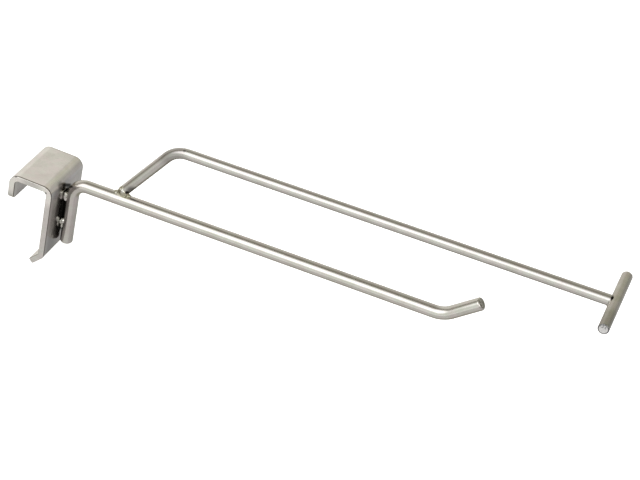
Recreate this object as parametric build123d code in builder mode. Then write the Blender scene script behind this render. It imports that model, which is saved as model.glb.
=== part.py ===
from build123d import *

import os
from math import atan2, cos, degrees, radians, sin, tan

# Welded display hook for a rectangular shop rail, in millimetres.
# X runs along the rail, the hook points towards -Y and Z is up.
# The origin is the middle of the rail's top face, where the clip's top plate seats.

# The rail, and the play that lets the clip drop over it
rail_depth = 15.0
rail_play = 1.2

# The clip, one bent strip of sheet steel
sheet = 2.75
clip_width = 32.0
clip_bend_radius = 2.0
lip_drop = 10.5
leg_drop = 34.5
tail_bend_radius = 0.7
tail_angle = 45.0
tail_length = 5.8
lip_corner_radius = 2.8
sheet_edge_radius = 0.25

# The hook wire, bent from one length of round wire
hook_diameter = 6.0
weld_gap = 0.6
hook_leg_length = 33.4
hook_corner_height = -0.2
hook_leg_bend_radius = 7.2
hook_run = 182.2
hook_slope = 1.95
hook_tip_angle = 39.0
hook_tip_length = 19.9
hook_tip_bend_radius = 13.2

# The tag arm, a thinner wire that rises from the hook wire's run
arm_diameter = 5.0
riser_station = 21.0
riser_advance = 24.9
riser_rise = 36.0
arm_bend_radius = 12.4
arm_run = 205.1
arm_slope = 2.2
arm_foot_sink = 0.15
arm_end_sink = 0.6

# The bar across the tag arm's end
bar_diameter = 5.0
bar_length = 45.0

# The chamfer on the cut ends of wire and bar
wire_end_chamfer = 0.3

# The weld beads: lumps with tapered ends, trimmed by the pieces that they join
leg_bead_diameter = 5.6
upper_bead_drop = 7.8
upper_bead_length = 5.8
lower_bead_rise = 10.2
lower_bead_length = 7.2
leg_bead_taper = 1.2
arm_bead_setback = 1.3
arm_bead_length = 6.2
arm_bead_diameter = 3.8
arm_bead_taper = 1.7
bar_bead_drop = 1.7
bar_bead_overhang = 0.2
bar_bead_diameter = 2.4
bar_bead_taper = 0.7


def along(start, distance, angle):
    """The (Y, Z) point at a distance from a start, forwards and up at an angle."""
    return (start[0] - distance * cos(radians(angle)), start[1] + distance * sin(radians(angle)))


def facing(point, angle):
    """A plane at a (Y, Z) point of the middle plane that faces forwards and up at an angle."""
    return Plane(origin=(0, *point), z_dir=(0, -cos(radians(angle)), sin(radians(angle))))


def weld_bead(plane, length, diameter, taper, joined):
    """A bead with tapered ends through a plane, less the pieces that it joins."""
    with BuildPart() as bead:
        with BuildSketch(plane):
            Circle(diameter / 2)
        extrude(amount=length / 2, both=True)
        chamfer(bead.faces().filter_by(GeomType.PLANE).edges(), length=taper)
        for piece in joined:
            add(piece.part, mode=Mode.SUBTRACT)
    return bead


# Places that the pieces share, as (Y, Z)
channel_half = (rail_depth + rail_play) / 2
clip_front = -channel_half - sheet
hook_corner = (clip_front - weld_gap - hook_diameter / 2, hook_corner_height)
hook_foot = (hook_corner[0], hook_corner[1] - hook_leg_length)
tip_corner = along(hook_corner, hook_run, hook_slope)
tip_end = along(tip_corner, hook_tip_length, hook_slope + hook_tip_angle)
riser_base = along(hook_corner, riser_station, hook_slope)
arm_corner = (riser_base[0] - riser_advance, riser_base[1] + riser_rise)
bar_seat = along(arm_corner, arm_run - bar_diameter / 2, arm_slope)
bar_centre = along(arm_corner, arm_run, arm_slope)
arm_end = along(bar_seat, arm_end_sink, arm_slope)

# Rail clip: lip, top plate, front leg and tail, folded from one strip and laid out along its inner face
tail_setback = tail_bend_radius * tan(radians(tail_angle / 2))
tail_corner = (-channel_half, -leg_drop - tail_setback)
tail_tip = along(tail_corner, -tail_length - tail_setback, 90 - tail_angle)

with BuildPart() as rail_clip:
    with BuildSketch(Plane.YZ):
        with BuildLine():
            FilletPolyline(
                (channel_half, -lip_drop),
                (channel_half, 0),
                (-channel_half, 0),
                tail_corner,
                tail_tip,
                radius=[clip_bend_radius, clip_bend_radius, tail_bend_radius],
            )
            offset(amount=sheet, side=Side.RIGHT)
        make_face()
    extrude(amount=clip_width / 2, both=True)
    with BuildSketch(Plane.XZ.offset(-channel_half)):
        Rectangle(clip_width, 2 * lip_drop)
        RectangleRounded(clip_width, 2 * lip_drop, lip_corner_radius, mode=Mode.SUBTRACT)
    extrude(amount=-sheet, mode=Mode.SUBTRACT)
    cut_sides = rail_clip.faces().filter_by(Axis.X)
    lip_end = rail_clip.faces().filter_by(Axis.Z).sort_by(Axis.Z)[0]
    tail_end = rail_clip.faces().sort_by(Axis.Z)[0]
    end_edges = lip_end.edges().filter_by(Axis.X) + tail_end.edges().filter_by(Axis.X)
    fillet(cut_sides.edges() + end_edges, radius=sheet_edge_radius)
rail_clip.part.label = "rail_clip"

# Hook wire: upright leg, run and upturned tip
with BuildPart() as hook_wire:
    with BuildLine(Plane.YZ) as hook_path:
        FilletPolyline(
            hook_foot,
            hook_corner,
            tip_corner,
            tip_end,
            radius=[hook_leg_bend_radius, hook_tip_bend_radius],
        )
    with BuildSketch(Plane(origin=hook_path.line @ 0, z_dir=hook_path.line % 0)):
        Circle(hook_diameter / 2)
    sweep()
    chamfer(hook_wire.faces().filter_by(GeomType.PLANE).edges(), length=wire_end_chamfer)
hook_wire.part.label = "hook_wire"

# Tag bar: straight, across the end of the tag arm
with BuildPart() as tag_bar:
    with BuildSketch(Plane.YZ):
        with Locations(bar_centre):
            Circle(bar_diameter / 2)
    extrude(amount=bar_length / 2, both=True)
    chamfer(tag_bar.faces().filter_by(GeomType.PLANE).edges(), length=wire_end_chamfer)
tag_bar.part.label = "tag_bar"

# Tag arm: riser and run, cut square at both ends. The foot's lower corner sinks into the hook wire's crown.
riser_angle = degrees(atan2(riser_rise, riser_advance))
lean = radians(riser_angle - hook_slope)
foot_height = (hook_diameter / 2 + arm_diameter / 2 * cos(lean) - arm_foot_sink) / sin(lean)
riser_foot = along(riser_base, foot_height, riser_angle)

with BuildPart() as tag_arm:
    with BuildLine(Plane.YZ) as arm_path:
        FilletPolyline(riser_foot, arm_corner, arm_end, radius=arm_bend_radius)
    with BuildSketch(Plane(origin=arm_path.line @ 0, z_dir=arm_path.line % 0)):
        Circle(arm_diameter / 2)
    sweep()
    add(hook_wire.part, mode=Mode.SUBTRACT)
    add(tag_bar.part, mode=Mode.SUBTRACT)
tag_arm.part.label = "tag_arm"

# Leg welds: two beads that bridge the gap between the clip's front face and the hook wire's leg,
# one set down from the rail and one set up from the leg's foot
leg_welds = []
for label, height, length in (
    ("upper_leg_weld", -upper_bead_drop, upper_bead_length),
    ("lower_leg_weld", hook_foot[1] + lower_bead_rise, lower_bead_length),
):
    bead_centre = (clip_front - weld_gap / 2, height)
    leg_weld = weld_bead(facing(bead_centre, 90), length, leg_bead_diameter, leg_bead_taper, [hook_wire])
    with leg_weld:
        split(bisect_by=Plane(origin=(0, clip_front, 0), z_dir=(0, -1, 0)))
    leg_weld.part.label = label
    leg_welds.append(leg_weld)

# Arm weld: a bead along the hook wire's crown, which fills the wedge under the riser's square foot
crown_point = along(riser_base, hook_diameter / 2, hook_slope + 90)
bead_middle = along(crown_point, foot_height * cos(lean) - arm_bead_setback, hook_slope)
bead_plane = facing(bead_middle, hook_slope)
arm_weld = weld_bead(bead_plane, arm_bead_length, arm_bead_diameter, arm_bead_taper, [hook_wire, tag_arm])
arm_weld.part.label = "arm_weld"

# Bar weld: a bead along the bar, under the square end of the tag arm
bar_weld = weld_bead(
    Plane(origin=(0, *along(bar_seat, bar_bead_drop, arm_slope - 90)), z_dir=(1, 0, 0)),
    arm_diameter + 2 * bar_bead_overhang,
    bar_bead_diameter,
    bar_bead_taper,
    [tag_arm, tag_bar],
)
bar_weld.part.label = "bar_weld"

os.makedirs("parts", exist_ok=True)
for piece in [rail_clip, hook_wire, tag_arm, tag_bar, *leg_welds, arm_weld, bar_weld]:
    export_step(piece.part, f"parts/{piece.part.label}.step")
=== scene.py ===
from math import cos, radians, sin, tan

import bmesh
import bpy
from mathutils import Euler, Matrix, Vector, noise as solid_noise


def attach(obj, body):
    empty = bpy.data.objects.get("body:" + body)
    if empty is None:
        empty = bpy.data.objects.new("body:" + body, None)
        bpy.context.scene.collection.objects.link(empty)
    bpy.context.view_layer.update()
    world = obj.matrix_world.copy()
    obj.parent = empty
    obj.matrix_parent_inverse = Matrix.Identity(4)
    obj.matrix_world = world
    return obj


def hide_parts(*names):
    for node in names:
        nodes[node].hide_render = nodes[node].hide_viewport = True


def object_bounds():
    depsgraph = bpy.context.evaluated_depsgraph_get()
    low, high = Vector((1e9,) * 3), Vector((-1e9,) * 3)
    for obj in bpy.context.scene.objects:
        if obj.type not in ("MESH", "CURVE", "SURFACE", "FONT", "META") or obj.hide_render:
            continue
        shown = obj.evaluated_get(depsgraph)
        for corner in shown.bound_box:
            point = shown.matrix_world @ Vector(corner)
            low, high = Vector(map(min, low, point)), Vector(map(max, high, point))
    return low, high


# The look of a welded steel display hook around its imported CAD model.
# Metres, in the model's own frame: X along the rail, the hook points towards -Y, Z is up.
# Places and lengths in materials, in the wire and in the welds are given in millimetres.

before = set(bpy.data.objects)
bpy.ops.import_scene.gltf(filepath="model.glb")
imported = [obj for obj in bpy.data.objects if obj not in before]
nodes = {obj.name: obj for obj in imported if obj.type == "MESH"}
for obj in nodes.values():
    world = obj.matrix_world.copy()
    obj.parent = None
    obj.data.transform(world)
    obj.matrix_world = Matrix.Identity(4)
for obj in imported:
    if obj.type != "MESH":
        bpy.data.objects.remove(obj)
cad_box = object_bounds()

MM = 0.001

# The hook wire's sizes, as in the part: where its leg and its run meet as (Y, Z), the lengths of leg, run
# and tip, and how steeply the run and the tip rise
WIRE_CORNER = (-14.45, -0.2)
LEG_LENGTH, RUN_LENGTH, TIP_LENGTH = 33.4, 182.2, 19.9
RUN_SLOPE, TIP_SLOPE = radians(1.95), radians(40.95)


def socket_link(tree, source, target):
    """Links a socket to a socket, or sets the target socket to a plain value."""
    if isinstance(source, bpy.types.NodeSocket):
        tree.links.new(source, target)
    else:
        target.default_value = source


def node(tree, kind, settings=(), **inputs):
    """A shader node with its settings and its inputs by name."""
    made = tree.nodes.new(kind)
    for key, value in dict(settings).items():
        setattr(made, key, value)
    for key, value in inputs.items():
        socket_link(tree, value, made.inputs[key.replace("_", " ")])
    return made


def millimetres(tree, stretch=(1, 1, 1)):
    """The object's own coordinates in millimetres, stretched by axis."""
    place = node(tree, "ShaderNodeTexCoord").outputs["Object"]
    scale = tuple(share / MM for share in stretch)
    return node(tree, "ShaderNodeMapping", Vector=place, Scale=scale).outputs["Vector"]


def noise(tree, vector, scale, detail=2.0, roughness=0.5, seed=0.0):
    """A noise of values around a half, moved by a seed."""
    moved = node(tree, "ShaderNodeVectorMath", {"operation": "ADD"})
    tree.links.new(vector, moved.inputs[0])
    moved.inputs[1].default_value = (seed, 1.7 * seed, -0.9 * seed)
    made = node(
        tree, "ShaderNodeTexNoise", Vector=moved.outputs["Vector"],
        Scale=scale, Detail=detail, Roughness=roughness,
    )
    return made.outputs["Fac"]


def ramp(tree, value, low, high, bottom=0.0, top=1.0):
    """A value's range stretched smoothly to another range."""
    made = node(tree, "ShaderNodeMapRange", {"interpolation_type": "SMOOTHSTEP"})
    for key, number in (("From Min", low), ("From Max", high), ("To Min", bottom), ("To Max", top)):
        made.inputs[key].default_value = number
    tree.links.new(value, made.inputs["Value"])
    return made.outputs["Result"]


def blend_colours(tree, share, first, second):
    """Two colours mixed by a share."""
    made = node(tree, "ShaderNodeMix", {"data_type": "RGBA"})
    socket_link(tree, share, made.inputs[0])
    socket_link(tree, first, made.inputs[6])
    socket_link(tree, second, made.inputs[7])
    return made.outputs[2]


def rgba(red, green, blue):
    """A colour with full cover."""
    return (red, green, blue, 1.0)


def calc(tree, operation, first, second=0.0):
    """One step of arithmetic between sockets or values."""
    made = node(tree, "ShaderNodeMath", {"operation": operation})
    socket_link(tree, first, made.inputs[0])
    socket_link(tree, second, made.inputs[1])
    return made.outputs[0]


def product(tree, first, *others):
    """Several shares multiplied together."""
    for other in others:
        first = calc(tree, "MULTIPLY", first, other)
    return first


def axes(tree, vector):
    """The three parts of a vector."""
    made = node(tree, "ShaderNodeSeparateXYZ")
    tree.links.new(vector, made.inputs[0])
    return made.outputs[0], made.outputs[1], made.outputs[2]


def nearness(tree, value, middle, inner, outer):
    """A share of 1 within an inner distance of a middle value, which falls to 0 at an outer distance."""
    gap = calc(tree, "ABSOLUTE", calc(tree, "SUBTRACT", value, middle))
    return ramp(tree, gap, inner, outer, 1.0, 0.0)


def surface_normal(tree):
    """The object's own surface normal."""
    return node(tree, "ShaderNodeTexCoord").outputs["Normal"]


def new_material(name):
    """An empty node material, and its tree."""
    material = bpy.data.materials.new(name)
    material.use_nodes = True
    material.node_tree.nodes.clear()
    return material, material.node_tree


# A flat black for painted shade and for pits, a plain black, and the plating's faint tints
SHADE_AND_PIT_BLACK, BLACK = (0.012, 0.011, 0.010), (0.0, 0.0, 0.0)
PINK, GREEN = (1.0, 0.97, 0.975), (0.975, 1.0, 0.97)


def finish_metal(tree, colour, roughness, normal, shade_and_pits=0.0):
    """A metal surface from its colour, roughness and normal, under a share of flat black: painted shade, and
    dark pits on the clip's sheared sides.
    """
    shader = node(
        tree, "ShaderNodeBsdfPrincipled",
        **{"Base_Color": colour, "Metallic": 1.0, "Roughness": roughness, "Normal": normal},
    )
    dull = node(tree, "ShaderNodeBsdfDiffuse", Color=rgba(*SHADE_AND_PIT_BLACK))
    cover = node(tree, "ShaderNodeMixShader")
    socket_link(tree, shade_and_pits, cover.inputs[0])
    tree.links.new(shader.outputs["BSDF"], cover.inputs[1])
    tree.links.new(dull.outputs["BSDF"], cover.inputs[2])
    output = node(tree, "ShaderNodeOutputMaterial")
    tree.links.new(cover.outputs["Shader"], output.inputs["Surface"])


def bump(tree, height, distance, rounding):
    """A normal bent by a height, given as the depth of its full range in millimetres, with rounded edges."""
    rounded = node(tree, "ShaderNodeBevel", Radius=rounding * MM)
    made = node(tree, "ShaderNodeBump", Distance=distance * MM, Normal=rounded.outputs["Normal"])
    tree.links.new(height, made.inputs["Height"])
    return made.outputs["Normal"]


def tinted(tree, place, colour, seed):
    """A colour under the plating's faint pink and green clouds."""
    clouds = ramp(tree, noise(tree, place, 0.22, 3.0, 0.6, seed), 0.35, 0.65)
    tint = blend_colours(tree, clouds, rgba(*PINK), rgba(*GREEN))
    made = node(tree, "ShaderNodeMix", {"data_type": "RGBA", "blend_type": "MULTIPLY"})
    made.inputs[0].default_value = 1.0
    tree.links.new(colour, made.inputs[6])
    tree.links.new(tint, made.inputs[7])
    return made.outputs[2]


def spot(tree, place, middle, inner, outer):
    """A round spot's share: 1 within an inner distance of its middle, 0 from an outer distance on."""
    gap = node(tree, "ShaderNodeVectorMath", {"operation": "DISTANCE"})
    tree.links.new(place, gap.inputs[0])
    gap.inputs[1].default_value = middle
    return ramp(tree, gap.outputs["Value"], inner, outer, 1.0, 0.0)


def largest(tree, first, *others):
    """The largest of several shares."""
    for other in others:
        first = calc(tree, "MAXIMUM", first, other)
    return first


# The wires' surface: how their draw lines are stretched along Y, the scales of its noises per millimetre,
# and the depth of lines and grain together
DRAWN_STRETCH = (1.0, 0.05, 1.0)
BLOTCH_SCALE, LINE_SCALE, GRAIN_SCALE, DULLNESS_SCALE = 0.12, 2.2, 6.0, 0.6
LINE_DEPTH = 0.004


def wire_metal(name, light, dark, dullness, seed, shade=None, rounding=0.7):
    """Drawn and plated wire: soft blotches, fine draw lines along it, and a faint grain.
    A shade gives the changed colour and the share of painted shade."""
    material, tree = new_material(name)
    plain = millimetres(tree)
    drawn = millimetres(tree, DRAWN_STRETCH)
    blotches = ramp(tree, noise(tree, plain, BLOTCH_SCALE, 3.0, 0.6, seed), 0.35, 0.7)
    lines = noise(tree, drawn, LINE_SCALE, 2.0, 0.6, seed + 11)
    grain = noise(tree, plain, GRAIN_SCALE, 2.0, 0.6, seed + 23)
    colour = blend_colours(tree, blotches, rgba(*light), rgba(*dark))
    colour = tinted(tree, plain, colour, seed + 2)
    shade_and_pits = 0.0
    if shade:
        colour, shade_and_pits = shade(tree, plain, colour)
    uneven = noise(tree, plain, DULLNESS_SCALE, 3.0, 0.6, seed + 5)
    roughness = ramp(tree, uneven, 0.3, 0.7, dullness - 0.03, dullness + 0.05)
    normal = bump(tree, calc(tree, "ADD", lines, grain), LINE_DEPTH, rounding)
    finish_metal(tree, colour, roughness, normal, shade_and_pits)
    return material


# How high the painted shade reaches on the clip and on the hook's leg, the depth of its fade,
# and how much painted shade lies on the leg's side that faces the clip
GAP_SHADE_TOP, LEG_SHADE_TOP, SHADE_FADE = -6.0, -8.5, 3.0
LEG_SHADE = 0.85
# The hook's tip: its direction, and the tones of its end face
TIP_WAY = (0.0, -cos(TIP_SLOPE), sin(TIP_SLOPE))
TIP_DARK, TIP_LIGHT = (0.27, 0.25, 0.20), (0.58, 0.57, 0.50)


def hook_shade(tree, place, colour):
    """The hook wire: painted shade on the leg's side that faces the clip, and a dull end face."""
    height = axes(tree, place)[2]
    normal = surface_normal(tree)
    # Painted shade on the leg's side that faces the clip, below the weld
    shade_and_pits = product(
        tree,
        ramp(tree, axes(tree, normal)[1], 0.15, 0.9, 0.0, LEG_SHADE),
        ramp(tree, height, LEG_SHADE_TOP - SHADE_FADE, LEG_SHADE_TOP, 1.0, 0.0),
    )
    facing = node(tree, "ShaderNodeVectorMath", {"operation": "DOT_PRODUCT"})
    tree.links.new(normal, facing.inputs[0])
    facing.inputs[1].default_value = TIP_WAY
    end_face = ramp(tree, facing.outputs["Value"], 0.85, 0.97)
    specks = ramp(tree, noise(tree, place, 1.3, 2.0, 0.6, 83.0), 0.42, 0.6)
    dull = blend_colours(tree, specks, rgba(*TIP_DARK), rgba(*TIP_LIGHT))
    return blend_colours(tree, end_face, colour, dull), shade_and_pits


# Small black spots of painted shade: in the corner in front of the riser's foot, and in the notch over the
# tag arm's end, where it is wide in X
FOOT_CORNER_SHADE = (-2.0, -41.5, 6.9)
END_NOTCH, NOTCH_SQUEEZE = (-0.9, -263.5, 46.3), 0.45
# Where the arm's weld has a painted highlight: the ridge round the riser's foot, and the lump behind it
WELD_RIDGE, WELD_LUMP = (-2.6, -39.2, 6.9), (-1.3, -35.8, 4.0)
WELD_HIGHLIGHT = (0.80, 0.80, 0.75)
# Where the tag arm is darker, as (middle, inner and outer distance, share): round its bend, a fleck beyond
# the bend, and painted shade at the front of the riser's foot
ARM_FLECKS_AND_SHADE = (
    ((0.0, -59.5, 34.5), 3.0, 11.0, 0.3),
    ((-1.2, -64.6, 38.8), 0.3, 1.2, 0.55),
    ((-1.7, -43.9, 8.3), 1.5, 4.0, 0.7),
)
# How much painted shade darkens the tag arm's underside
UNDERSIDE_SHADE = 0.42


def notch_shade(tree, place):
    """Painted shade in the notch between the tag arm's end and the bar."""
    squeezed = node(tree, "ShaderNodeMapping", Vector=place, Scale=(NOTCH_SQUEEZE, 1.0, 1.0))
    middle = (NOTCH_SQUEEZE * END_NOTCH[0], *END_NOTCH[1:])
    return spot(tree, squeezed.outputs["Vector"], middle, 0.4, 0.85)


def corner_shades(tree, place, colour):
    """A colour of the tag arm or its welds, and the share of the two spots of painted corner shade."""
    corner_shade = spot(tree, place, FOOT_CORNER_SHADE, 0.6, 1.3)
    return colour, largest(tree, corner_shade, notch_shade(tree, place))


def weld_shade(tree, place, colour):
    """A weld of the tag arm, with painted highlights on the ridge round the riser's foot and on the lump
    behind it.
    """
    ridge = spot(tree, place, WELD_RIDGE, 0.3, 1.6)
    lump = spot(tree, place, WELD_LUMP, 0.2, 1.2)
    highlight = largest(tree, ridge, product(tree, lump, 0.4))
    return corner_shades(tree, place, blend_colours(tree, highlight, colour, rgba(*WELD_HIGHLIGHT)))


def arm_shade(tree, place, colour):
    """The tag arm: painted shade on its underside, darker spots, and the two spots of painted corner shade.
    """
    dimmed = ramp(tree, axes(tree, surface_normal(tree))[2], -0.65, -0.35, UNDERSIDE_SHADE, 0.0)
    for middle, inner, outer, most in ARM_FLECKS_AND_SHADE:
        dimmed = largest(tree, dimmed, product(tree, spot(tree, place, middle, inner, outer), most))
    return corner_shades(tree, place, blend_colours(tree, dimmed, colour, rgba(*BLACK)))


# The bar: its axis in (Y, Z), how much painted shade darkens its -X end, the bright metal of its sawn ends,
# the burr round them, and the ring where the burr lies, as (radius, inner and outer distance)
BAR_AXIS, BAR_END_SHADE = (-265.287, 44.388), 0.25
SAWN, SAWN_DARK, BURR = (0.97, 0.97, 0.96), (0.8, 0.8, 0.79), (0.25, 0.25, 0.25)
BURR_RING = (2.4, 0.3, 0.65)


def bar_shade(tree, place, colour):
    """The bar: painted shade towards its -X end, bright sawn end faces, and the painted shade in the notch.
    """
    across, ahead, height = axes(tree, place)
    dimmed = ramp(tree, across, -22.0, 2.0, BAR_END_SHADE, 0.0)
    colour = blend_colours(tree, dimmed, colour, rgba(*BLACK))
    sideways = calc(tree, "ABSOLUTE", axes(tree, surface_normal(tree))[0])
    saw_marks = noise(tree, millimetres(tree, (0.3, 1.0, 1.6)), 0.9, 3.0, 0.6, 71.0)
    sawn = blend_colours(tree, ramp(tree, saw_marks, 0.35, 0.65), rgba(*SAWN), rgba(*SAWN_DARK))
    ahead = calc(tree, "SUBTRACT", ahead, BAR_AXIS[0])
    height = calc(tree, "SUBTRACT", height, BAR_AXIS[1])
    radius = calc(tree, "SQRT", calc(tree, "ADD", product(tree, ahead, ahead), product(tree, height, height)))
    rim = nearness(tree, radius, *BURR_RING)
    torn = product(tree, ramp(tree, saw_marks, 0.47, 0.53), ramp(tree, height, 0.2, 1.0), 0.95)
    sawn = blend_colours(tree, largest(tree, rim, torn), sawn, rgba(*BURR))
    colour = blend_colours(tree, ramp(tree, sideways, 0.5, 0.7), colour, sawn)
    return colour, notch_shade(tree, place)


# The clip's sheet: tones of its sheared sides, the line of painted shade round them, and the tone of the
# painted shade on its front face
CUT_LIGHT, CUT_DARK, CUT_BRIGHT = (0.76, 0.74, 0.71), (0.69, 0.67, 0.64), (0.97, 0.94, 0.90)
EDGE_SHADE_LINE = (0.14, 0.115, 0.09)
FRONT_SHADE = (0.30, 0.29, 0.29)
# Pits in the sheared sides
CUT_PITS = ((-15.9, 7.8, 2.4), (-16.0, -7.9, -0.2))
# Painted shade and painted dark reflections of the hook's leg on the clip's front: round spots as (middle,
# inner and outer distance, share), and patches as (middle, inner and outer distance in X, the same in Z,
# share)
SHADE_SPOTS = (
    ((-6.5, -10.7, -0.5), 0.8, 3.2, 0.6),
    ((-5.5, -10.85, -25.5), 1.2, 3.8, 0.6),
)
SHADE_PATCHES = (
    ((-4.0, 3.5, 10.5), (-14.0, 2.5, 5.5), 0.42),
    ((-7.5, 2.0, 4.0), (-24.5, 1.5, 3.2), 0.5),
)
# The streak of painted shade and painted reflection that slants down from the clip's front bend: how steep it
# is, and its place at X = 0, as (middle, inner and outer distance in Z)
STREAK_SLOPE, STREAK_PLACE = 0.56, (-3.2, 0.5, 1.5)
# A hazy place on the clip's front bend, and how much rougher it is
HAZE_MIDDLE, HAZE_ROUGHNESS = (-10.0, -10.5, -0.5), 0.25
# The sheet's surface: the scales of its noises per millimetre, the depth of its grain, the rounding that its
# edges seem to have, how much rougher its sheared sides are, and where in X the line of painted shade begins
# and is full
CLOUD_SCALE, SHEARED_SCALE, SHEET_GRAIN_SCALE, SHEET_DULLNESS_SCALE = 0.09, 0.8, 3.0, 0.4
SHEET_GRAIN_DEPTH, SHEET_ROUNDING, CUT_ROUGHNESS = 0.003, 0.4, 0.25
EDGE_SHADE_REACH = (15.0, 15.5)


def painted_gap_shade(tree, place):
    """Painted shade of the gap behind the hook's leg, and painted dark reflections of the leg, on the clip's
    front face.
    """
    across, _, height = axes(tree, place)
    # Painted shade in the gap behind the leg, painted reflections of the leg beside it, and a painted streak
    # below the bend
    behind_leg = product(
        tree,
        nearness(tree, across, 0.0, 1.5, 4.2),
        ramp(tree, height, GAP_SHADE_TOP, GAP_SHADE_TOP + SHADE_FADE, 1.0, 0.0),
        ramp(tree, height, -29.5, -27.0),
    )
    beyond_leg = product(
        tree,
        nearness(tree, across, -9.0, 2.5, 5.0),
        ramp(tree, height, -25.5, -22.0),
        ramp(tree, height, -12.0, -5.0, 1.0, 0.0),
        0.3,
    )
    slant = calc(tree, "ADD", height, product(tree, across, STREAK_SLOPE))
    streak = product(
        tree,
        nearness(tree, slant, *STREAK_PLACE),
        ramp(tree, across, -7.0, -3.5, 0.0, 0.9),
        ramp(tree, across, 3.0, 6.0, 1.0, 0.0),
    )
    shade_and_pits = largest(tree, behind_leg, beyond_leg, streak)
    for middle, inner, outer, most in SHADE_SPOTS:
        shade_and_pits = largest(tree, shade_and_pits, product(tree, spot(tree, place, middle, inner, outer), most))
    for in_x, in_z, most in SHADE_PATCHES:
        patch = product(tree, nearness(tree, across, *in_x), nearness(tree, height, *in_z), most)
        shade_and_pits = largest(tree, shade_and_pits, patch)
    return shade_and_pits


def plated_faces(tree, place, normal_y, light, dark, seed):
    """The tone of the sheet's faces: broad clouds, and painted shade on the faces towards -Y."""
    across, back, _ = axes(tree, place)
    clouds = ramp(tree, noise(tree, place, CLOUD_SCALE, 4.0, 0.6, seed), 0.35, 0.68)
    clouds = product(tree, clouds, ramp(tree, across, -16.0, -6.0))
    faces = blend_colours(tree, clouds, rgba(*light), rgba(*dark))
    # Painted shade on the faces towards -Y, strongest towards -X
    front_shade = product(
        tree,
        ramp(tree, normal_y, -1.0, -0.8, 1.0, 0.0),
        ramp(tree, across, -15.0, -11.0, 0.55, 0.8),
        ramp(tree, across, -10.0, 12.0, 1.0, 0.15),
        ramp(tree, back, -8.0, -6.0, 1.0, 0.45),
    )
    return blend_colours(tree, front_shade, faces, rgba(*FRONT_SHADE))


def sheared_sides(tree, place, seed):
    """The tone of the sheet's cut sides, which are brighter at the clip's top corners."""
    _, back, height = axes(tree, place)
    sheared = noise(tree, millimetres(tree, (1.0, 0.6, 1.0)), SHEARED_SCALE, 3.0, 0.6, seed + 13)
    cut = blend_colours(tree, ramp(tree, sheared, 0.3, 0.7), rgba(*CUT_LIGHT), rgba(*CUT_DARK))
    outwards = calc(tree, "ABSOLUTE", back)
    polished = product(tree, ramp(tree, height, -9.0, -4.0), ramp(tree, outwards, 2.0, 7.0))
    return blend_colours(tree, polished, cut, rgba(*CUT_BRIGHT))


def sheet_metal(name, light, dark, dullness, seed):
    """Bright plated sheet: broad clouds and a fine grain, dull sheared sides with a line of painted shade
    round them, and painted shade and painted reflections where the hook's leg is welded on."""
    material, tree = new_material(name)
    plain = millimetres(tree)
    across = axes(tree, plain)[0]
    sideways = calc(tree, "ABSOLUTE", axes(tree, surface_normal(tree))[0])
    normal_y = axes(tree, surface_normal(tree))[1]

    is_cut = ramp(tree, sideways, 0.9, 0.98)
    faces = plated_faces(tree, plain, normal_y, light, dark, seed)
    colour = blend_colours(tree, is_cut, faces, sheared_sides(tree, plain, seed))
    # Painted shade along the rounded edges next to the sheared sides, stronger on the -X half
    edge_shade = product(
        tree,
        ramp(tree, calc(tree, "ABSOLUTE", across), *EDGE_SHADE_REACH),
        ramp(tree, sideways, 0.6, 0.9, 0.9, 0.0),
        ramp(tree, across, -1.0, 1.0, 1.0, 0.4),
    )
    colour = blend_colours(tree, edge_shade, colour, rgba(*EDGE_SHADE_LINE))

    front = ramp(tree, normal_y, -0.6, -0.2, 1.0, 0.0)
    shade_and_pits = product(tree, painted_gap_shade(tree, plain), front)
    for middle in CUT_PITS:
        shade_and_pits = largest(tree, shade_and_pits, product(tree, spot(tree, plain, middle, 0.2, 0.8), 0.7))

    uneven = noise(tree, plain, SHEET_DULLNESS_SCALE, 3.0, 0.6, seed + 3)
    roughness = ramp(tree, uneven, 0.3, 0.7, dullness - 0.03, dullness + 0.04)
    roughness = calc(tree, "ADD", roughness, product(tree, is_cut, CUT_ROUGHNESS))
    haze = product(tree, spot(tree, plain, HAZE_MIDDLE, 3.0, 6.0), front, HAZE_ROUGHNESS)
    roughness = calc(tree, "ADD", roughness, haze)
    grain = noise(tree, plain, SHEET_GRAIN_SCALE, 3.0, 0.65, seed + 7)
    normal = bump(tree, grain, SHEET_GRAIN_DEPTH, SHEET_ROUNDING)
    finish_metal(tree, tinted(tree, plain, colour, seed + 2), roughness, normal, shade_and_pits)
    return material


def dress(node_name, material):
    """Gives a CAD node its material."""
    mesh = nodes[node_name].data
    mesh.materials.clear()
    mesh.materials.append(material)


# The materials: light and dark tone, roughness and seed, and for wires their shade and rounding
plate = sheet_metal("plated_sheet", (0.89, 0.86, 0.82), (0.77, 0.75, 0.70), 0.13, 3.0)
wire = wire_metal("plated_wire", (0.69, 0.67, 0.63), (0.63, 0.61, 0.56), 0.17, 31.0, hook_shade, 0.1)
arm_metal = wire_metal("plated_arm", (0.67, 0.65, 0.62), (0.61, 0.59, 0.55), 0.17, 37.0, arm_shade)
bar_metal = wire_metal("plated_bar", (0.585, 0.565, 0.51), (0.49, 0.47, 0.395), 0.24, 47.0, bar_shade)
leg_weld = wire_metal("leg_weld_bead", (0.90, 0.89, 0.86), (0.42, 0.40, 0.35), 0.10, 59.0, None, 0.1)
arm_weld = wire_metal("arm_weld_bead", (0.58, 0.56, 0.44), (0.44, 0.42, 0.32), 0.16, 61.0, weld_shade, 0.1)

dress("rail_clip", plate)
dress("tag_arm", arm_metal)
dress("tag_bar", bar_metal)

# The hook wire, with its cut ends rounded: its radius, the radii of its bends, and how finely it is drawn
WIRE_RADIUS, WIRE_ROUNDING = 3.0, 0.9
WIRE_BENDS = (7.2, 13.2)
BEND_STEPS, ROUND_STEPS, WIRE_SIDES = 28, 8, 64


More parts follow.
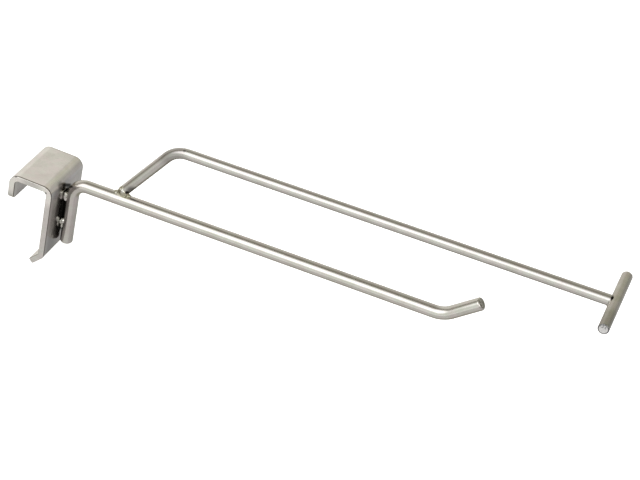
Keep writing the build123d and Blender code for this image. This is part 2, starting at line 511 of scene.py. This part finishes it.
def bend_points(before, corner, after, radius):
    """Points of the arc that rounds a corner of a path."""
    backwards, forwards = (before - corner).normalized(), (after - corner).normalized()
    half = backwards.angle(forwards) / 2
    centre = corner + (backwards + forwards).normalized() * (radius / sin(half))
    start = corner + backwards * (radius / tan(half)) - centre
    end = corner + forwards * (radius / tan(half)) - centre
    return [centre + radius * start.slerp(end, step / BEND_STEPS) for step in range(BEND_STEPS + 1)]


def onwards(start, distance, slope):
    """A point of the middle plane at a distance from a start, forwards and up at a slope."""
    return start + distance * Vector((0.0, -cos(slope), sin(slope)))


def wire_path():
    """The hook wire's middle line."""
    leg_corner = Vector((0.0, *WIRE_CORNER))
    leg_foot = leg_corner - Vector((0.0, 0.0, LEG_LENGTH))
    tip_corner = onwards(leg_corner, RUN_LENGTH, RUN_SLOPE)
    corners = [leg_foot, leg_corner, tip_corner, onwards(tip_corner, TIP_LENGTH, TIP_SLOPE)]
    points = [corners[0]]
    for number, radius in enumerate(WIRE_BENDS, start=1):
        points += bend_points(corners[number - 1], corners[number], corners[number + 1], radius)
    return points + [corners[-1]]


def rounded_end(end, inwards):
    """(middle, radius) of the rings that round a wire's end, from the flat face inwards."""
    rings = []
    for step in range(ROUND_STEPS + 1):
        angle = radians(90 * step / ROUND_STEPS)
        depth, inset = WIRE_ROUNDING * (1 - cos(angle)), WIRE_ROUNDING * (1 - sin(angle))
        rings.append((end + inwards * depth, WIRE_RADIUS - inset))
    return rings


def wire_rings():
    """The rings round the hook wire's path, as (middle, radius, direction)."""
    points = wire_path()
    ways = [(points[1] - points[0]).normalized()]
    for before, after in zip(points, points[2:]):
        ways.append((after - before).normalized())
    ways.append((points[-1] - points[-2]).normalized())
    first, last = rounded_end(points[0], ways[0]), rounded_end(points[-1], -ways[-1])
    rings = [(middle, radius, ways[0]) for middle, radius in first]
    rings += [(middle, WIRE_RADIUS, way) for middle, way in zip(points[1:-1], ways[1:-1])]
    rings += [(middle, radius, ways[-1]) for middle, radius in reversed(last)]
    return rings


def hook_wire_piece():
    """The hook wire as a tube along its path."""
    shape = bmesh.new()
    loops = []
    side = Vector((1.0, 0.0, 0.0))
    for middle, radius, way in wire_rings():
        upwards = way.cross(side)
        loop = []
        for number in range(WIRE_SIDES):
            angle = radians(360 * number / WIRE_SIDES)
            place = middle + radius * (cos(angle) * side + sin(angle) * upwards)
            loop.append(shape.verts.new(place * MM))
        loops.append(loop)
    for near, far in zip(loops, loops[1:]):
        for number in range(WIRE_SIDES):
            following = (number + 1) % WIRE_SIDES
            shape.faces.new((near[number], near[following], far[following], far[number]))
    shape.faces.new(list(reversed(loops[0])))
    shape.faces.new(loops[-1])
    for face in shape.faces:
        face.smooth = len(face.verts) == 4
    mesh = bpy.data.meshes.new("hook_wire_round")
    shape.to_mesh(mesh)
    shape.free()
    mesh.materials.append(wire)
    piece = bpy.data.objects.new("hook_wire_round", mesh)
    bpy.context.scene.collection.objects.link(piece)
    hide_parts("hook_wire")
    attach(piece, "root")


hook_wire_piece()

# Welds: fused drops of metal, which stand for the plain beads of the CAD model.
# How finely they are drawn, how they are softened, and how deep and how fine their ripples are.
WELD_VOXEL = 0.13
WELD_SOFTENING, WELD_ROUNDS = 0.5, 5
WELD_RIPPLE, COARSE_RIPPLE, FINE_RIPPLE = 0.07, 1.1, 2.7
# The (Y, Z) point on the hook wire's axis that the riser stands over, and the riser's tilt
RISER_BASE = (-35.438, 0.515)
RISER_TILT = 34.7


def on_wire(x, ahead, height):
    """A point over the hook wire's axis: how far it is to the side, ahead of the riser's base, and up."""
    return (
        x,
        RISER_BASE[0] - ahead * cos(RUN_SLOPE) + height * sin(RUN_SLOPE),
        RISER_BASE[1] + ahead * sin(RUN_SLOPE) + height * cos(RUN_SLOPE),
    )


def fused_drops(name, drops):
    """The softened mesh of fused drops, still in millimetres."""
    shape = bmesh.new()
    for middle, radii, tilt in drops:
        turned = Euler((radians(tilt), 0.0, 0.0)).to_quaternion()
        place = Matrix.LocRotScale(Vector(middle), turned, Vector(radii))
        bmesh.ops.create_icosphere(shape, subdivisions=3, radius=1.0, matrix=place)
    rough = bpy.data.meshes.new(name + "_rough")
    shape.to_mesh(rough)
    shape.free()
    former = bpy.data.objects.new(name + "_rough", rough)
    bpy.context.scene.collection.objects.link(former)
    fused = former.modifiers.new("fuse", "REMESH")
    fused.mode = "VOXEL"
    fused.voxel_size = WELD_VOXEL
    softened = former.modifiers.new("soften", "SMOOTH")
    softened.factor = WELD_SOFTENING
    softened.iterations = WELD_ROUNDS
    graph = bpy.context.evaluated_depsgraph_get()
    mesh = bpy.data.meshes.new_from_object(former.evaluated_get(graph))
    bpy.data.objects.remove(former)
    return mesh


def weld_piece(name, node_name, drops, metal, seed):
    """A weld made of drops, each (middle, radii, tilt about X in degrees), fused, softened and rippled."""
    mesh = fused_drops(name, drops)
    shift = Vector((seed, 2.3 * seed, -1.9 * seed))
    moves = []
    for vertex in mesh.vertices:
        coarse = solid_noise.noise(vertex.co * COARSE_RIPPLE + shift)
        fine = solid_noise.noise(vertex.co * FINE_RIPPLE + shift)
        moves.append(vertex.co + vertex.normal * (WELD_RIPPLE * (coarse + 0.5 * fine)))
    for vertex, moved in zip(mesh.vertices, moves):
        vertex.co = moved * MM
    mesh.polygons.foreach_set("use_smooth", [True] * len(mesh.polygons))
    mesh.materials.clear()
    mesh.materials.append(metal)
    mesh.name = name
    piece = bpy.data.objects.new(name, mesh)
    bpy.context.scene.collection.objects.link(piece)
    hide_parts(node_name)
    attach(piece, "root")


weld_piece(
    "upper_leg_weld_drops",
    "upper_leg_weld",
    (
        ((0.0, -12.0, -7.2), (2.9, 1.6, 1.7), 0),
        ((0.0, -11.9, -9.4), (2.8, 1.5, 1.6), 0),
        ((-1.9, -11.5, -7.8), (1.1, 1.0, 2.2), 0),
    ),
    leg_weld,
    4.0,
)
weld_piece(
    "lower_leg_weld_drops",
    "lower_leg_weld",
    (
        ((-0.1, -12.1, -21.8), (3.2, 1.7, 2.1), 0),
        ((0.2, -11.8, -24.9), (2.7, 1.5, 1.7), 0),
        ((-2.2, -11.4, -22.3), (1.2, 1.0, 1.3), 0),
    ),
    leg_weld,
    8.0,
)
weld_piece(
    "arm_weld_drops",
    "arm_weld",
    (
        (on_wire(0.0, 0.4, 3.0), (1.5, 1.4, 1.0), 0),
        (on_wire(-0.3, 3.0, 3.5), (1.6, 2.8, 1.2), 0),
        (on_wire(-0.9, 4.1, 5.4), (1.85, 2.65, 3.4), RISER_TILT),
        (on_wire(0.9, 3.8, 5.0), (1.8, 2.6, 2.8), RISER_TILT),
        (on_wire(0.1, 5.9, 3.0), (1.3, 1.6, 0.9), 0),
        (on_wire(-1.95, 2.8, 6.5), (0.5, 0.9, 0.5), 18),
        (on_wire(-2.4, 3.9, 6.3), (0.5, 0.9, 0.5), 18),
        (on_wire(-2.5, 4.9, 5.8), (0.5, 0.8, 0.5), 30),
    ),
    arm_weld,
    15.0,
)
weld_piece(
    "bar_weld_drops",
    "bar_weld",
    (
        ((0.2, -262.7, 42.3), (2.3, 0.8, 0.8), 0),
        ((2.0, -262.6, 43.3), (0.75, 0.9, 1.4), 0),
    ),
    arm_weld,
    23.0,
)

# Camera, at the photograph's own viewpoint: its place in metres, its directions to the right and up, and
# its lens. A scratch script solved these from the photograph's edges, for the part's rounded sizes.
CAMERA_PLACE = (-0.66061, -0.292379, 0.476288)
CAMERA_RIGHT = (0.35311, -0.91538, 0.19396)
CAMERA_UP = (0.47296, 0.35406, 0.80679)
LENS, SENSOR_WIDTH = 103.781, 36.0
right, up = Vector(CAMERA_RIGHT), Vector(CAMERA_UP)
camera = bpy.data.objects.new("camera", bpy.data.cameras.new("camera"))
bpy.context.scene.collection.objects.link(camera)
turn = Matrix((right, up, right.cross(up))).transposed().to_quaternion()
camera.matrix_world = Matrix.LocRotScale(Vector(CAMERA_PLACE), turn, None)
camera.data.lens = LENS
camera.data.sensor_width = SENSOR_WIDTH
camera.data.clip_start, camera.data.clip_end = 0.01, 50.0
bpy.context.scene.camera = camera

# Studio: a pale floor under the part, which glows a little so that it is evenly light
FLOOR_DROP, FLOOR_HALF, FLOOR_GLOW = 0.05, 12.0, 0.7
PAPER, PAPER_ROUGHNESS = (0.93, 0.93, 0.93), 0.9
floor_mesh = bpy.data.meshes.new("floor")
floor_z = cad_box[0].z - FLOOR_DROP
corners = [(x * FLOOR_HALF, y * FLOOR_HALF, floor_z) for x, y in ((-1, -1), (1, -1), (1, 1), (-1, 1))]
floor_mesh.from_pydata(corners, [], [(0, 1, 2, 3)])
floor = bpy.data.objects.new("floor", floor_mesh)
bpy.context.scene.collection.objects.link(floor)
paper, tree = new_material("paper_floor")
shader = node(
    tree, "ShaderNodeBsdfPrincipled",
    **{"Base_Color": rgba(*PAPER), "Roughness": PAPER_ROUGHNESS},
)
shader.inputs["Emission Color"].default_value = rgba(1.0, 1.0, 1.0)
shader.inputs["Emission Strength"].default_value = FLOOR_GLOW
output = node(tree, "ShaderNodeOutputMaterial")
tree.links.new(shader.outputs["BSDF"], output.inputs["Surface"])
floor_mesh.materials.append(paper)
floor.visible_glossy = False

# The soft light comes from the room that the metal mirrors: an even tone, and brighter parts as
# (direction, outer and inner half-angle in degrees, colour added). The even tone and rows 1, 2, 3, 4, 6 and 7
# are the rounded result of a least-squares fit to the wires' tones in the photograph, with a few of their
# numbers changed since. The other rows were set one by one.
AMBIENT = (0.325, 0.31, 0.265)
LOBES = (
    ((-0.64, 0.41, 0.65), 38, 9, (1.16, 1.16, 1.24)),
    ((-0.92, 0.33, 0.22), 50, 31, (0.53, 0.56, 0.57)),
    ((0.62, 0.77, 0.15), 57, 1, (0.47, 0.46, 0.47)),
    ((0.83, -0.20, 0.53), 24, 13, (0.10, 0.10, 0.07)),
    ((0.74, -0.10, 0.66), 22, 4, (0.12, 0.12, 0.12)),
    ((-0.12, -0.97, -0.19), 65, 16, (0.21, 0.20, 0.26)),
    ((-0.60, -0.02, -0.80), 48, 8, (0.33, 0.33, 0.37)),
    ((0.80, 0.28, 0.52), 28, 6, (0.07, 0.07, 0.07)),
    ((-0.50, -0.65, 0.57), 27, 8, (1.70, 1.70, 1.75)),
    ((0.78, -0.55, 0.05), 50, 20, (0.08, 0.09, 0.12)),
    ((0.75, -0.40, -0.53), 30, 8, (0.06, 0.07, 0.10)),
)
world = bpy.data.worlds.new("studio")
bpy.context.scene.world = world
world.use_nodes = True
tree = world.node_tree
tree.nodes.clear()
direction = node(tree, "ShaderNodeTexCoord").outputs["Generated"]
total = rgba(*AMBIENT)
for axis, outer, inner, colour in LOBES:
    towards = node(tree, "ShaderNodeVectorMath", {"operation": "DOT_PRODUCT"})
    tree.links.new(direction, towards.inputs[0])
    towards.inputs[1].default_value = Vector(axis).normalized()
    share = ramp(tree, towards.outputs["Value"], cos(radians(outer)), cos(radians(inner)))
    added = node(tree, "ShaderNodeVectorMath", {"operation": "MULTIPLY_ADD"})
    added.inputs[0].default_value = colour
    tree.links.new(share, added.inputs[1])
    if isinstance(total, bpy.types.NodeSocket):
        tree.links.new(total, added.inputs[2])
    else:
        added.inputs[2].default_value = total[:3]
    total = added.outputs["Vector"]
glow = node(tree, "ShaderNodeBackground", Strength=1.0)
tree.links.new(total, glow.inputs["Color"])
output = node(tree, "ShaderNodeOutputWorld")
tree.links.new(glow.outputs["Background"], output.inputs["Surface"])
world.cycles.sampling_method = "MANUAL"
world.cycles.sample_map_resolution = 512

bpy.context.scene.view_settings.view_transform = "Standard"
